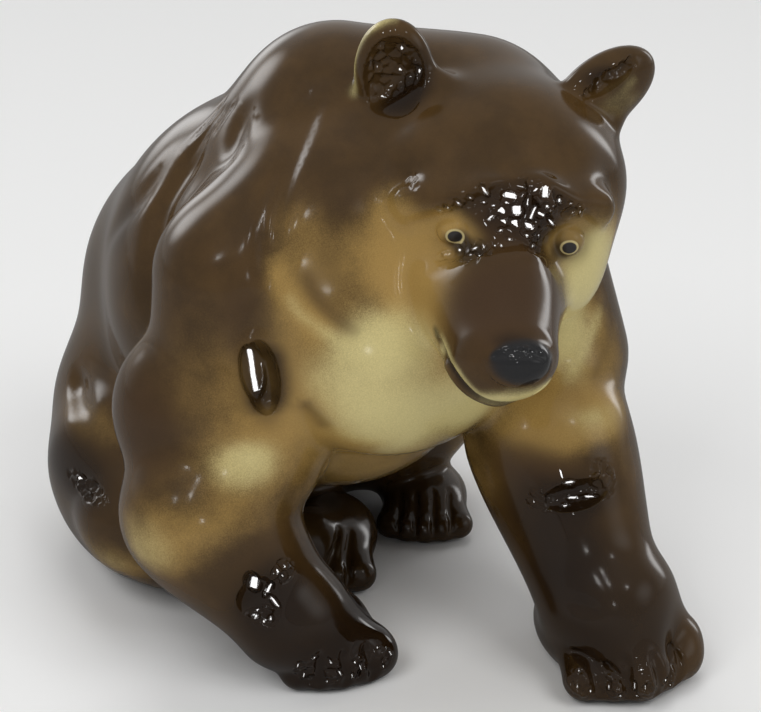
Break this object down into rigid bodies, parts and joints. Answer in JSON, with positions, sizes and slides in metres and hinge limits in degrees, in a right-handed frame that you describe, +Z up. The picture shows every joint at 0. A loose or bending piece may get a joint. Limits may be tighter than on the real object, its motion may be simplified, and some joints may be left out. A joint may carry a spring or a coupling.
{
  "type": "seated bear figurine",
  "caption": "Glossy porcelain bear seated on its haunches, front legs planted, head turned to its right and lowered; stands on its rump and paws.",
  "frame": {"origin": "centre of the bear's footprint box, at the height of its soles", "axes": "+Z up, -Y is the way the body faces, +X is the bear's own left"},
  "size_m": [0.1684, 0.2375, 0.2033],
  "materials": {
    "glaze": "airbrushed brown, ochre and cream under a clear high gloss glaze"
  },
  "bodies": {
    "root": {"bear": "glaze"}
  },
  "joints": []
}
